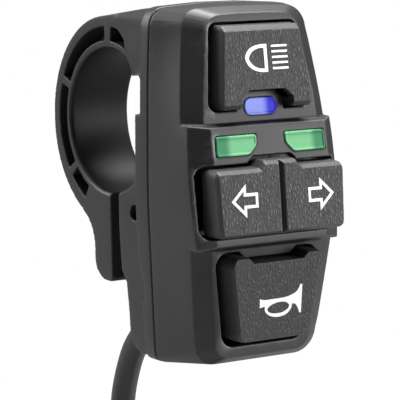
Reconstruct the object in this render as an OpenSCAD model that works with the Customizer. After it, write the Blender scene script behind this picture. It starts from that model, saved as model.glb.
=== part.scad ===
// Handlebar switch cluster: headlight button, turn rocker and horn button in a clamp-on case.
// Millimetres. The origin is the centre of the handlebar bore, X runs along the bar,
// Z is up and the buttons face -Y.

/* [Handlebar clamp] */
// Radius of the handlebar that the clamp takes
bar_r = 11.1; // [10.6:0.05:11.3]
// Width of the hoop and of the clamp block, along the bar
hoop_w = 10.9; // [9.6:0.1:12]
// Radial thickness of the hoop
hoop_t = 4.9; // [4.4:0.1:5.4]
// How far the hoop's outside is centred below the bore
hoop_drop = 0.5; // [0:0.1:0.8]
// Chamfer at both rims of the bore
bore_chamfer = 0.5; // [0.3:0.1:1]
// Rim left inside and outside the cored pockets of the hoop
core_rim = 1.1; // [0.9:0.05:1.4]
// Depth of the cored pockets, from each side
core_depth = 4; // [2:0.1:4.4]
// Angle that each rib between the cored pockets takes
core_rib_angle = 7; // [5:0.5:9]
// Thickness of the lower ear
ear_t = 4.7; // [4.2:0.1:5.2]
// Bottom of the lower ear, below the bore's centre
ear_drop = 25; // [24.5:0.1:26]
// Width of the slit between the ear and the clamp block
slit_w = 2.4; // [2:0.1:2.6]
// Height of the clamp screw, below the bore's centre
screw_drop = 19.2; // [18.8:0.1:19.6]
// Radius of the clamp screw's thread
clamp_screw_r = 2; // [1.8:0.05:2.1]
// Radius of the clamp screw's head
clamp_head_r = 3.3; // [3:0.1:3.5]
// Height of the clamp screw's head
clamp_head_h = 2.4; // [2:0.1:2.6]
// Radius of the washer below the screw's head
washer_r = 3.6; // [3.4:0.1:3.8]
// Thickness of the washer
washer_t = 0.6; // [0.5:0.1:0.7]
// Radius of the threaded insert in the block
insert_r = 2.8; // [2.6:0.05:2.9]
// Length of the threaded insert
insert_len = 6; // [4:0.1:6.6]
// Radius of the small hole through the block
side_hole_r = 1.2; // [0.8:0.05:1.4]

/* [Case] */
// Distance from the bar's centre to the parting plane
parting_reach = 22.95; // [22.5:0.05:23.2]
// Gap that shows between the two shells
parting_gap = 0.3; // [0.25:0.05:0.4]
// Half of the case's width at its widest
case_half = 13; // [12.8:0.05:13.3]
// Top of the case
case_top = 19.1; // [18.9:0.05:19.4]
// Bottom of the case, below the bore's centre
case_drop = 33; // [32.8:0.05:33.2]
// Wall of the front shell
wall = 1.4; // [1.3:0.05:1.5]
// Thickness of the rear plate
plate_t = 1.95; // [1.6:0.05:2.1]
// How far the rear plate's middle pad stands off it
pad_t = 1.3; // [1:0.1:1.6]
// How far the raised middle of the front stands off the top panel
raise = 1.95; // [1.6:0.05:2.2]
// Length of the lip that centres the front shell
lip_len = 1.2; // [0.8:0.1:1.4]

/* [Buttons] */
// Gap above and below the buttons in their pockets
button_gap = 0.35; // [0.3:0.01:0.4]
// Gap at both sides of the headlight button and the horn button
side_gap = 0.85; // [0.7:0.05:0.9]
// Gap at both sides of the rocker
rocker_side_gap = 1.2; // [1:0.05:1.3]
// How far the horn button's pocket runs on below it
horn_drop = 0.65; // [0.3:0.05:0.75]
// Wall of the hollow buttons
button_wall = 1.3; // [1.1:0.05:1.5]
// How far the headlight button stands off its panel
headlight_proud = 2.3; // [2:0.05:2.6]
// Travel of the headlight button
headlight_travel = 1; // [0.6:0.05:1]
// How far the horn button stands off its panel
horn_proud = 2.9; // [2.5:0.05:3.2]
// Travel of the horn button
horn_travel = 0.8; // [0.5:0.05:0.9]
// Distance from the bar's centre to the rocker's face, at its middle
rocker_reach = 38.25; // [38:0.05:38.5]
// Distance from the bar's centre to the rocker's pin
pin_reach = 33.4; // [33.2:0.05:33.6]
// Radius of the rocker's pin
pin_r = 1; // [0.8:0.05:1.1]
// Clearance of the rocker on its pin
pin_clearance = 0.05; // [0.03:0.01:0.08]
// Angle that the rocker tips to each side
rocker_angle = 7; // [4:0.5:7]
// Depth of the groove down the middle of the rocker
groove_depth = 0.9; // [0.6:0.05:1]

/* [Board] */
// Thickness of the circuit board
board_t = 1.2; // [1:0.1:1.3]
// Height of the posts that the board sits on
post_h = 1.45; // [1.3:0.05:1.6]
// Half of the board's width
board_half = 8.2; // [7.9:0.1:8.3]
// Radius of the return springs, to the middle of the wire
spring_r = 2.7; // [2.5:0.05:2.8]
// Radius of the return springs' wire
spring_wire_r = 0.25; // [0.2:0.01:0.3]
// Curls of the headlight button's spring
headlight_curls = 3; // [2:1:3]
// Curls of the horn button's spring
horn_curls = 6; // [4:1:7]

/* [Cable] */
// Radius of the cable
cable_r = 1.95; // [1.7:0.05:1.95]
// Loops that spiral in, in the coil's first layer
loops_in = 2; // [1:1:2]
// Spacing of the coil's loops and of its layers
loop_pitch = 4.3; // [4.3:0.05:4.6]
// Radius of the coil's outermost loop, to the middle of the cable
coil_r = 22.6; // [22.6:0.1:24]
// Radius of the connector
connector_r = 4.4; // [4:0.1:4.6]
// Length of the connector's body
connector_len = 20; // [14:0.5:24]

/* [Hidden] */
$fn = 48;
eps = 0.02;
corner_steps = 7;
slip = 0.05;

// Planes of the case, front to back
plate_front = -parting_reach + parting_gap / 2;
plate_back = plate_front + plate_t;
pad_back = plate_back + pad_t;
rim_y = -parting_reach - parting_gap / 2;

// Leaning faces of the front: reach at a height, and lean per millimetre of height
top_side = [30.5, 4, 0.17];
top_panel = [32.55, 4, 0.165];
mid_side = [30.35 + raise, 2.6, 0.14];
bar_panel = [32.65 + raise, 2.35, 0.17];
bar_foot = -2.6;
low_side = [32.87, -17.5, -0.097];
low_panel = [34.5, -15.3, -0.075];
rocker_lean = 0.106;
function lean_y(f, z) = -f[0] + f[2] * (z - f[1]);
function bar_y(z) = lean_y(bar_panel, max(z, bar_foot)) + 0.02 * min(0, z - bar_foot);
function rocker_y(z) = -rocker_reach + rocker_lean * (z - rocker_z);

// Pockets of the buttons: half width, height and corner radius at the top and at the bottom
headlight_pocket = [case_half - 5.3, 16.7, 1.3, case_half - 4.2, 4.2, 1.4];
horn_pocket = [case_half - 4.1, -15.6, 1.9, case_half - 5.6, -28.9, 2.2];
horn_opening = horn_pocket - [0, 0, 0, 0, horn_drop, 0];
rocker_pocket = [case_half - 0.75, -2.9, 1.7, case_half - 1, -13.4, 1.8];
rocker_z = (rocker_pocket[1] + rocker_pocket[4]) / 2;
floor_front = -31.4;
floor_back = floor_front + wall;
barrel_r = pin_r + 0.65;
tongue = [[4.1, headlight_pocket[4] - 0.4], [4.05, 5.75], [2.75, 6.9]];
horn_tab = [[4.9, horn_pocket[1] + 0.4], [4.9, -15.7], [4, -16.6]];
// Bump on the rocker's upper edge: half widths at its foot and top, and rise, and the notch for it
bump = [3.5, 2.7, 1];
bump_notch = [[4.1, -3.55], [4.1, -2.6], [3.3, -1.9]];
headlight_back = -29;
horn_back = -31.4;
headlight_taper = [0.06, 0.06];
headlight_bevel = [0.2, 0.7, 0.7];
horn_taper = [0.1, 0.05];
horn_bevel = [0.25, 0.5, 0.15];
// Tabs that hold a button behind its panel: half width, lower and upper end, back and front
headlight_tabs = [case_half - 3.9, 4.7, 7.5, headlight_back - 0.1, headlight_back - 1];
horn_tabs = [case_half - 4.1, -20.4, -17.2, horn_back - 0.1, horn_back - 1];

// Heights of the switches on the board
headlight_z = 11;
horn_z = -22.3;
lens_z = 4.75;
turn_lens_z = -0.2;
turn_lens_x = case_half - 7;

// Board, posts and bosses
board_back = plate_front - post_h;
board_front = board_back - board_t;
cut_back = board_front - 0.6;
cut_front = -rocker_reach - 1.75;
board_screw_at = [[6, 7.6], [6.2, -15]];
boss_at = [[case_half - 2.8, 5.5, -27.5], [case_half - 4.1, -27.2, -28.5]];
boss_r = 1.7;
case_screw_r = 1;
case_head_r = 1.8;
case_head_h = 1.1;
headlight_body_h = 3.2;
horn_body_h = 3;
stem_gap = 0.25;
post_r = 1.9;
headlight_top = lean_y(top_panel, headlight_z) - headlight_proud;
horn_top = lean_y(low_panel, horn_z) - horn_proud;
headlight_seat = board_front - headlight_body_h;
horn_seat = board_front - horn_body_h;
headlight_stem_h = 1.3;
horn_stem_h = 0.9;

// Clamp
hoop_r = bar_r + hoop_t;
half_hoop = hoop_w / 2;
ear_back = 4;
ear_front = ear_back - ear_t;
block_rear = ear_front - slit_w;
insert_front = block_rear - 1 - insert_len;
head_seat = ear_back - washer_t - clamp_head_h - 0.1;
shoulder_end = [1.9, 15.8, 0.5];

// Cable route: leaves the block downwards at 45 degrees, then hangs
exit_y = -6;
exit_z = -29.2;
route = [[-5.6, -29.6], [-3, -32.2], [0.1, -35.3], [2, -38], [3.7, -42], [4.6, -45.5], [5, -50],
  [5, -56], [5, -63], [5, -70]];
coil_y = route[len(route) - 1][0] - coil_r;
coil_z = route[len(route) - 1][1];
tail_len = 20;
loop_steps = 24;
turns_in = 360 * loops_in;
turns_out = 360 * (loops_in - 0.5);
inner_r = coil_r - loops_in * loop_pitch;

// Points of an arc, from angle a to angle b
function arc(c, r, a, b) =
  [for (i = [0 : corner_steps]) let (t = a + (b - a) * i / corner_steps) c + r * [cos(t), sin(t)]];
// A right half and its mirror image, as one outline
function both(h) = concat(h, [for (i = [len(h) - 1 : -1 : 0]) [-h[i][0], h[i][1]]]);
// Right half of a pocket's outline, grown by g, or by gx sideways and gz up and down
function oval(c, rx, rz, a, b) =
  [for (i = [0 : corner_steps]) let (t = a + (b - a) * i / corner_steps) c + [rx * cos(t), rz * sin(t)]];
function pocket_loop(p, gx, gz) = concat(oval([p[0] - p[2], p[1] - p[2]], p[2] + gx, p[2] + gz, 90, 0),
  oval([p[3] - p[5], p[4] + p[5]], p[5] + gx, p[5] + gz, 0, -90));
function pocket_half(p, g) = pocket_loop(p, g, g);
// Half width of the case at the parting plane, and how its sides draw in per millimetre towards the front
function rim_x(z) = case_half - (z > 3 ? 0.0016 * pow(z - 3, 2) : z > -5 ? 0
  : z > -13 ? 0.0034 * pow(z + 5, 2) : -0.054 * (z + 9));
function draft(z) = 0.006 + (z > -5 ? 0.0008 : 0.00022) * pow(z + 5, 2);
function wall_x(z, f) = rim_x(z) - draft(z) * (rim_y - lean_y(f, z));
// Corners of the case's outline at the parting plane, drawn in by s
function rim_top(s) = concat([[3.5, case_top - s]],
  oval([case_half - 2.9, case_top - 3.5], 2.65 - s, 3.1 - s, 90, 0));
function rim_bottom(s) = arc([case_half - 3, 1.8 - case_drop], max(1.8 - s, 0.1), 0, -90);
// Right half of the case's outline at the parting plane, drawn in by s
rim_rows = [14, 12.5, 11, 9.5, 8, 6.5, 5, 3, -1, -5, -7, -9, -11, -13, -22];
function rim_half(s) = concat(rim_top(s), [for (z = rim_rows) [rim_x(z) - s, z]], rim_bottom(s));
// Loop of points at the depth that a leaning face has, or at a fixed depth
function on_face(h, f, dy) = [for (p = both(h)) [p[0], lean_y(f, p[1]) + dy, p[1]]];
function at_y(h, y) = [for (p = both(h)) [p[0], y, p[1]]];
function on_bar(h, dy) = [for (p = both(h)) [p[0], bar_y(p[1]) + dy, p[1]]];
function on_rocker(h, dy) = [for (p = both(h)) [p[0], rocker_y(p[1]) + dy, p[1]]];

// Heights of the points down the sides of the front shell's three sections
top_rows = [14, 12.5, 11, 9.5, 8, 6.5, 5, 3.5, 2, 1];
low_rows = [-13, -15, -17, -19, -21, -23, -25, -27];
function mid_rows(high, low) = [high, 0, bar_foot, -4.5, -6.5, -8.5, -10.5, -12.5, low];
// Half widths of the three panels
function top_x(z) = case_half - 3 - (z > 6 ? 0.176 * z - 0.756 : 0.06 * (z - 1));
function mid_x(z) = case_half - 3 + 0.038 * min(0, z - bar_foot);
function low_x(z) = case_half - 3.55 + (z > -18 ? 0.06 : 0.111) * (z + 18);
// Halves of the front shell's three sections at the rim, the side edge and the panel edge
function top_rim(s) = concat(rim_top(s), [for (z = top_rows) [rim_x(z) - s, z]]);
function top_edge(s) = concat([[3, case_top - 0.25 - s]],
  arc([case_half - 5.4, case_top - 3.65], 3.25 - s, 90, 0),
  [for (z = top_rows) [wall_x(z, top_side) - s, z]]);
function top_front(s) = concat([[2.5, case_top - 1.2 - s / 2]],
  arc([case_half - 7.6, case_top - 4], 2.7 - s / 2, 90, 0), [for (z = top_rows) [top_x(z) - s / 7, z]]);
function mid_rim(s) = [for (z = mid_rows(2.6 - s, s - 15)) [rim_x(z) - s, z]];
function mid_edge(s) = [for (z = mid_rows(2.6 - s, s - 15)) [wall_x(z, mid_side) - s, z]];
function mid_front(s) = [for (z = mid_rows(2.35 - s, s - 14.5)) [mid_x(z) - s, z]];
function low_rim(s) = concat([for (z = low_rows) [rim_x(z) - s, z]], rim_bottom(s));
function low_edge(s) = concat([for (z = low_rows) [wall_x(z, low_side) - s, z]],
  arc([case_half - 5.9, -28.6], 3.6 - s, 0, -90));
function low_front(s) = concat([for (z = low_rows) [low_x(z) - s / 7, z]],
  arc([case_half - 7.05, -28.8], 2.3 - s / 2, 0, -90));

// Solid between loops of equally many points, each mirrored left to right
module loft(loops) {
  n = len(loops[0]);
  m = len(loops);
  sides = [for (k = [0 : m - 2], i = [0 : n - 1], t = [0, 1])
    let (j = (i + 1) % n, a = k * n + i, b = k * n + j)
      t == 0 ? [a, b, b + n] : [a, b + n, a + n]];
  caps = [for (e = [0, 1], i = [0 : n / 2 - 2], t = [0, 1])
    let (o = e * (m - 1) * n, a = o + i, c = o + n - 2 - i, f = t == 0 ? [a, c, a + 1] : [a, c + 1, c])
      e == 0 ? f : [f[2], f[1], f[0]]];
  polyhedron(points = [for (l = loops, p = l) p], faces = concat(sides, caps), convexity = 6);
}

// Outline in X and Z, extruded in Y from the back to the front
module along_y(back, front) {
  translate([0, back, 0]) rotate([90, 0, 0]) linear_extrude(back - front) children();
}

// Outline in Y and Z, extruded in X over the width w
module along_x(w) {
  translate([-w / 2, 0, 0]) rotate([90, 0, 90]) linear_extrude(w) children();
}

// Cylinder along Y from the back to the front, at x and z
module rod_y(r, back, front, x, z) {
  translate([x, back, z]) rotate([90, 0, 0]) cylinder(r = r, h = back - front);
}

module rod_x(r, w) {
  translate([-w / 2, 0, 0]) rotate([0, 90, 0]) cylinder(r = r, h = w);
}

// Copies at both sides of the middle plane
module both_sides() {
  children();
  mirror([1, 0, 0]) children();
}

// Box between two corners
module box(low, high) {
  translate(low) cube(high - low);
}

// The front shell's outside, or its inside drawn in by s
module front_form(s, rim) {
  loft([at_y(top_rim(s), rim), on_face(top_edge(s), top_side, s), on_face(top_front(s), top_panel, s)]);
  loft([at_y(mid_rim(s), rim), on_face(mid_edge(s), mid_side, s), on_bar(mid_front(s), s)]);
  loft([at_y(low_rim(s), rim), on_face(low_edge(s), low_side, s), on_face(low_front(s), low_panel, s)]);
}

// Solid walls and floor round the rocker's pocket
module rocker_frame() {
  intersection() {
    front_form(0, rim_y);
    box([-case_half, -rocker_reach, rocker_pocket[4] - wall - 0.2], [case_half, floor_back, wall - 2.8]);
  }
}

// Outline of a turn lens, grown by g
module turn_lens_outline(g) {
  translate([turn_lens_x, 0]) polygon([[-3.5 - g, 1.1 + g], [3.4 + g, 1.1 + g], [3.5 + g, -1.7 - g],
    [-2.15 - g / 2, -1.7 - g], [-3.5 - g, -0.3 - g / 2]]);
}

// Outline of the headlight lens, grown by g
module beam_lens_outline(g) {
  translate([0, lens_z]) {
    square([3.2, 2.4 + 2 * g], center = true);
    for (x = [-1.6, 1.6]) {
      translate([x, 0]) circle(r = 1.2 + g);
    }
  }
}

module front_case() {
  color("#3a3a3c") difference() {
    union() {
      difference() {
        front_form(0, rim_y);
        front_form(wall, rim_y + 1);
      }
      rocker_frame();
      both_sides() for (b = boss_at) {
        rod_y(boss_r, plate_front, b[2], b[0], b[1]);
      }
    }
    along_y(cut_back, cut_front) difference() {
      polygon(both(pocket_half(headlight_pocket, 0)));
      polygon(both(tongue));
    }
    along_y(horn_back + 1.4, cut_front) difference() {
      polygon(both(pocket_half(horn_opening, 0)));
      polygon(both(horn_tab));
    }
    along_y(floor_front, cut_front) polygon(both(pocket_half(rocker_pocket, 0)));
    along_y(-34.5, cut_front) polygon(both(bump_notch));
    box([-2.4, floor_front - eps, -10.2], [2.4, floor_back + 1, -6.1]);
    translate([0, -pin_reach, rocker_pocket[4] - wall + 0.2]) cylinder(r = pin_r + slip, h = 13.3);
    both_sides() along_y(cut_back, cut_front) turn_lens_outline(slip);
    along_y(cut_back, cut_front) beam_lens_outline(slip);
    both_sides() for (b = boss_at) {
      rod_y(case_screw_r + slip, plate_front + 1, b[2] + 1, b[0], b[1]);
    }
  }
}

// Ear, with the fillet that leads from the hoop down to it
module ear_outline() {
  polygon(concat([[ear_front + 0.15, -10], [ear_front - 0.4, -ear_drop + 0.6], [ear_front, -ear_drop]],
    arc([ear_back - 3.4, 3.4 - ear_drop], 3.4, -90, 0),
    arc([ear_back + 6.2, -20.4], 6.2, 180, 115), [[4, -10]]));
}

// Clamp block below the bore, with the saddle in front of it
module block_outline() {
  polygon(concat([[plate_back - eps, 10], [-8, 10], [block_rear + 0.15, -10.6], [block_rear, -16],
    [block_rear - 0.7, -22.6], [-5.2, -24.4], [-5.7, -27.5]], arc([-10, -30.9], 3.9, 0, -90),
    [[plate_back - eps, -case_drop]]));
}

// Web along the top, from the hoop to the rear plate
module web_outline() {
  polygon([[2.4, hoop_r - 0.2], [-10, 17.6], [plate_back - eps, case_top - 0.35],
    [plate_back - eps, 13], [0, 13]]);
}

// Sector of a ring round X, from angle a over the angle span, between two radii
module ring_sector(inner, outer, a, span, w) {
  translate([-w / 2, 0, 0]) rotate([90, 0, 90]) rotate([0, 0, a]) rotate_extrude(angle = span)
    translate([inner, 0]) square([outer - inner, w]);
}

// Cored pockets in one side of the hoop
module hoop_cores() {
  starts = [-62, -37, 24, 93];
  ends = [-42, 19, 86, 118];
  for (i = [0 : len(starts) - 1]) {
    trim = i > 0 ? (core_rib_angle - 6) / 2 : 0;
    translate([-half_hoop + core_depth / 2 - 1, 0, 0])
      ring_sector(bar_r + core_rim, hoop_r - core_rim - hoop_drop, starts[i] + trim,
        ends[i] - starts[i] - trim, core_depth + 2);
  }
}

module shoulder() {
  front_half = concat([[3.4, case_top - 0.1]], oval([case_half - 2.95, case_top - 3.6], 2.6, 3.1, 90, 0),
    [[case_half - 0.3, 9.8]]);
  rear_half = concat([[2, 16.35]], arc([half_hoop - 1, 15.3], 1, 90, 0), [[half_hoop, 7]]);
  loft([on_face(rear_half, shoulder_end, 0), at_y(front_half, plate_back - eps)]);
}

module rear_case() {
  color("#3f3f41") difference() {
    union() {
      along_y(plate_back, plate_front) polygon(both(rim_half(0)));
      intersection() {
        along_y(pad_back, plate_front) polygon(both(rim_half(0)));
        along_x(40) polygon([[plate_front, 3.2], [pad_back, 3.2], [pad_back, -18.6], [plate_back - 0.2, -22],
          [plate_back - 0.2, -24.2], [pad_back - 0.6, -24.2], [pad_back - 0.6, -case_drop],
          [plate_front, -case_drop]]);
      }
      difference() {
        intersection() {
          along_y(plate_front, plate_front - lip_len) difference() {
            polygon(both(rim_half(wall + 0.2)));
            polygon(both(rim_half(wall + 1)));
          }
          box([-20, plate_front - 9, -23], [20, plate_front + 1, 4]);
        }
        both_sides() for (b = boss_at) {
          rod_y(boss_r + 0.3, plate_front - eps, plate_front - 9, b[0], b[1]);
        }
      }
      difference() {
        shoulder();
        rod_x(bar_r + 1, 40);
      }
      translate([0, 0, -hoop_drop]) rod_x(hoop_r, hoop_w);
      rod_x(hoop_r, hoop_w);
      along_x(hoop_w) web_outline();
      along_x(hoop_w) ear_outline();
      along_x(hoop_w) block_outline();
      both_sides() for (p = board_screw_at) {
        rod_y(1.6, plate_front + eps, board_back, p[0], p[1]);
      }
    }
    rod_x(bar_r, hoop_w + 1);
    both_sides() translate([half_hoop - bore_chamfer, 0, 0]) rotate([0, 90, 0])
      cylinder(r1 = bar_r, r2 = bar_r + bore_chamfer + eps, h = bore_chamfer + eps);
    along_x(hoop_w + 1) polygon([[ear_front + 0.15, -9], [ear_front + 0.15, -10], [ear_front - 0.4, -24.4],
      [block_rear - 0.7, -22.6], [block_rear, -16], [block_rear + 0.15, -10.6], [block_rear + 0.15, -9]]);
    both_sides() hoop_cores();
    rod_y(clamp_screw_r + 0.2, 9, insert_front - 2, 0, -screw_drop);
    rod_y(washer_r + 0.2, 14, head_seat, 0, -screw_drop);
    rod_y(insert_r + slip, block_rear + 2, insert_front, 0, -screw_drop);
    translate([0, -7.5, -13.4]) rod_x(side_hole_r, hoop_w + 1);
    gland_axis() translate([0, 0, -6]) cylinder(r = gland_r + slip, h = 12);
    gland_axis() translate([0, 0, gland_seat]) cylinder(r = gland_flange_r + 0.1, h = 9);
    box([-3.6, plate_front - 1, -32], [3.6, -9.2, -23.6]);
    both_sides() for (b = boss_at) {
      rod_y(case_screw_r + 0.2, 0, plate_front - 1, b[0], b[1]);
    }
    both_sides() for (p = board_screw_at) {
      rod_y(board_screw_r + slip, plate_back - 0.5, board_back - 1, p[0], p[1]);
    }
  }
}

module case_seal() {
  color("#161616") along_y(plate_front, rim_y) difference() {
    polygon(both(rim_half(0.5)));
    polygon(both(rim_half(1)));
  }
}

// Pan-head screws, two above and two below, that hold the shells together
module case_screws() {
  seat = [plate_back, pad_back - 0.6];
  color("#8d8f92") both_sides() for (i = [0, 1]) {
    b = boss_at[i];
    difference() {
      union() {
        rod_y(case_head_r, seat[i] + case_head_h, seat[i], b[0], b[1]);
        rod_y(case_screw_r, seat[i] + eps, b[2] + 1.4, b[0], b[1]);
      }
      for (a = [0, 90]) {
        translate([b[0], seat[i] + case_head_h, b[1]]) rotate([0, a, 0])
          cube([2.2, 1.2, 0.5], center = true);
      }
    }
  }
}

// Socket-head clamp screw
module clamp_screw() {
  color("#77797c") difference() {
    union() {
      rod_y(clamp_head_r, head_seat + washer_t + clamp_head_h, head_seat + washer_t, 0, -screw_drop);
      rod_y(clamp_screw_r, head_seat + washer_t + eps, insert_front + 0.4, 0, -screw_drop);
    }
    translate([0, head_seat + washer_t + clamp_head_h - 1.5, -screw_drop]) rotate([-90, 0, 0])
      cylinder(r = 1.75, h = 3, $fn = 6);
  }
}

module clamp_washer() {
  color("#9b9da0") difference() {
    rod_y(washer_r, head_seat + washer_t, head_seat, 0, -screw_drop);
    rod_y(clamp_screw_r + 0.2, ear_back + 2, head_seat - 1, 0, -screw_drop);
  }
}

module clamp_insert() {
  color("#b08d3c") difference() {
    rod_y(insert_r, insert_front + insert_len, insert_front, 0, -screw_drop);
    rod_y(clamp_screw_r + slip, 0, insert_front - 1, 0, -screw_drop);
  }
}

// Outside of a push button, its face leaning like the panel that it stands in
module button_form(p, panel, back, proud, side, taper, bevel) {
  loft([at_y(pocket_loop(p, -side, -button_gap), back),
    on_face(pocket_loop(p, -side, -button_gap), panel, 0),
    on_face(pocket_loop(p, -side - taper[0], -button_gap - taper[1]), panel, bevel[1] - proud),
    on_face(pocket_loop(p, -side - taper[0] - bevel[0], -button_gap - taper[1] - bevel[2]), panel, -proud)]);
}

// Hollow behind a push button's face
module button_hollow(p, panel, back, proud) {
  in = button_gap + button_wall;
  q = [p[0] - in, p[1] - in, 0.5, p[3] - in, p[4] + in, 0.5];
  loft([at_y(pocket_half(q, 0), back + 1), on_face(pocket_half(q, 0), panel, button_wall - proud)]);
}

// Tab on one side of a button
module button_tab(t) {
  box([t[0] - 1.6, t[4], t[1]], [t[0], t[3], t[2]]);
}

module headlight_button() {
  color("#4b4b4d") difference() {
    union() {
      difference() {
        button_form(headlight_pocket, top_panel, headlight_back, headlight_proud, side_gap, headlight_taper,
          headlight_bevel);
        button_hollow(headlight_pocket, top_panel, headlight_back, headlight_proud);
      }
      both_sides() button_tab(headlight_tabs);
      rod_y(post_r, headlight_seat - headlight_stem_h - stem_gap, headlight_top + 0.7, 0, headlight_z);
    }
    along_y(-20, -40) polygon(both([for (q = tongue) [q[0] + button_gap, q[1] + button_gap]]));
  }
}

module horn_button() {
  color("#4b4b4d") difference() {
    union() {
      difference() {
        button_form(horn_pocket, low_panel, horn_back, horn_proud, side_gap, horn_taper, horn_bevel);
        button_hollow(horn_pocket, low_panel, horn_back, horn_proud);
      }
      both_sides() button_tab(horn_tabs);
      rod_y(post_r, horn_seat - horn_stem_h - stem_gap, horn_top + 0.7, 0, horn_z);
    }
    along_y(-20, -40) polygon(both([for (q = horn_tab) [q[0] + button_gap, q[1] - button_gap]]));
  }
}

// Helical return spring between two planes, flat at its ends
module return_spring(back, front, z, curls) {
  sides = 6;
  rise = (back - front - 2 * spring_wire_r - 0.2) / (curls * 8);
  rings = [for (k = [0 : curls * 8])
    [for (j = [0 : sides - 1]) let (a = k * 45, b = j * 360 / sides, q = spring_r + spring_wire_r * cos(b))
      [q * cos(a), back - spring_wire_r - 0.1 - k * rise - spring_wire_r * sin(b), z + q * sin(a)]]];
  tube(rings);
}

// Closed tube through rings of points
module tube(rings) {
  n = len(rings[0]);
  m = len(rings);
  sides = [for (k = [0 : m - 2], i = [0 : n - 1], t = [0, 1])
    let (j = (i + 1) % n, a = k * n + i, b = k * n + j)
      t == 0 ? [a, b, b + n] : [a, b + n, a + n]];
  caps = [for (i = [1 : n - 2], e = [0, 1]) let (o = (m - 1) * n)
    e == 0 ? [0, i + 1, i] : [o, o + i, o + i + 1]];
  polyhedron(points = [for (r = rings, p = r) p], faces = concat(sides, caps), convexity = 10);
}

module headlight_spring() {
  color("#b9bbbe") return_spring(headlight_seat, headlight_top + button_wall, headlight_z, headlight_curls);
}

module horn_spring() {
  color("#b9bbbe") return_spring(horn_seat, horn_top + button_wall, horn_z, horn_curls);
}

module headlight_switch() {
  color("#1d1d1f") difference() {
    box([-3.5, headlight_seat, headlight_z - 3.5], [3.5, board_front, headlight_z + 3.5]);
    rod_y(1.3, board_front - 1, headlight_seat - 1, 0, headlight_z);
  }
}

module headlight_stem() {
  color("#d8d4c8") rod_y(1.25, headlight_seat + 0.6, headlight_seat - headlight_stem_h, 0, headlight_z);
}

module horn_switch() {
  color("#1d1d1f") difference() {
    box([-3, horn_seat, horn_z - 3], [3, board_front, horn_z + 3]);
    rod_y(1.55, board_front - 1, horn_seat - 1, 0, horn_z);
  }
}

module horn_stem() {
  color("#d8d4c8") rod_y(1.5, horn_seat + 0.6, horn_seat - horn_stem_h, 0, horn_z);
}

// Right half of the rocker's outline, the pocket's grown by gx and gz, with a bump of the given rise
function rocker_loop(gx, gz, rise) = concat([[bump[1], rocker_pocket[1] + gz + rise],
  [bump[0], rocker_pocket[1] + gz + 0.03]], pocket_loop(rocker_pocket, gx, gz));

module turn_rocker() {
  swing = -pin_reach - 0.5;
  leg_tip = board_front - 3.2;
  color("#4b4b4d") difference() {
    union() {
      loft([at_y(rocker_loop(-rocker_side_gap, -button_gap - 0.05, 0.06), swing),
        on_rocker(rocker_loop(-rocker_side_gap, -button_gap - 0.1, 0.06), 3),
        on_rocker(rocker_loop(-rocker_side_gap, -button_gap - 0.1, bump[2]), 2.3),
        on_rocker(rocker_loop(-rocker_side_gap, -button_gap - 0.2, bump[2]), 0.7),
        on_rocker(rocker_loop(-rocker_side_gap - 0.25, -button_gap - 0.65, bump[2]), 0)]);
      translate([0, -pin_reach, rocker_pocket[4] + 0.8])
        cylinder(r = barrel_r, h = rocker_pocket[1] - rocker_pocket[4] - 1.6);
      box([-1.1, -pin_reach - 0.6, -9.6], [1.1, leg_tip, -6.7]);
    }
    translate([0, -pin_reach, -16]) cylinder(r = pin_r + pin_clearance, h = 16);
    groove_cutter();
  }
}

// Wedge that cuts the groove down the middle of the rocker's face
module groove_cutter() {
  translate([0, rocker_y(rocker_z), rocker_z]) rotate([-atan(rocker_lean), 0, 0]) translate([0, 0, -10])
    linear_extrude(20) polygon([[0, groove_depth], [0.6, -0.3], [-0.6, -0.3]]);
}

module rocker_pin() {
  color("#a9abae") translate([0, -pin_reach, rocker_pocket[4] - wall + 0.3])
    cylinder(r = pin_r, h = rocker_pocket[1] - rocker_pocket[4] + 2 * wall - 0.6);
}

// Slide switch under the rocker, with a slot for its slider
module turn_switch() {
  color("#9c9ea1") difference() {
    box([-4.3, board_front - 2.6, rocker_z - 2.4], [4.3, board_front, rocker_z + 2.4]);
    box([-3.3, board_front - 4, rocker_z - 1.4], [3.3, board_front - 1.2, rocker_z + 1.4]);
  }
}

// Forked slider that the rocker's leg carries along
module turn_slider() {
  color("#1d1d1f") difference() {
    box([-2.3, board_front - 4.4, rocker_z - 1.1], [2.3, board_front - 1.5, rocker_z + 1.1]);
    box([-1.5, board_front - 6, rocker_z - 2], [1.5, board_front - 2.8, rocker_z + 2]);
  }
}

module beam_lens() {
  front = lean_y(top_panel, lens_z) - 0.45;
  color("#5a4fe0") {
    along_y(front + 2.2, front) beam_lens_outline(0);
    rod_y(1, board_front - 1.6, front + 2, 0, lens_z);
  }
}

module turn_lens() {
  front = bar_y(turn_lens_z) - 0.45;
  along_y(front + 2, front) turn_lens_outline(0);
  rod_y(0.85, board_front - 1.6, front + 1.5, turn_lens_x, turn_lens_z);
}

module turn_lens_left() {
  color("#7fc896") mirror([1, 0, 0]) turn_lens();
}

module turn_lens_right() {
  color("#7fc896") turn_lens();
}

// Surface-mounted lamp on the board
module led(x, z) {
  box([x - 1.5, board_front - 0.7, z - 0.8], [x + 1.5, board_front, z + 0.8]);
  rod_y(0.65, board_front - 0.6, board_front - 1.2, x, z);
}

module beam_led() {
  color("#dfe3ff") led(0, lens_z);
}

module turn_leds() {
  color("#e2f5e4") both_sides() led(turn_lens_x, turn_lens_z);
}

module circuit_board() {
  color("#1f5a38") difference() {
    along_y(board_back, board_front) polygon(both([[board_half, 16], [board_half, -24.5],
      [board_half - 1.3, -24.5], [board_half - 1.3, -29]]));
    both_sides() for (p = board_screw_at) {
      rod_y(board_screw_r + 0.1, board_back + 1, board_front - 1, p[0], p[1]);
    }
  }
}

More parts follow.
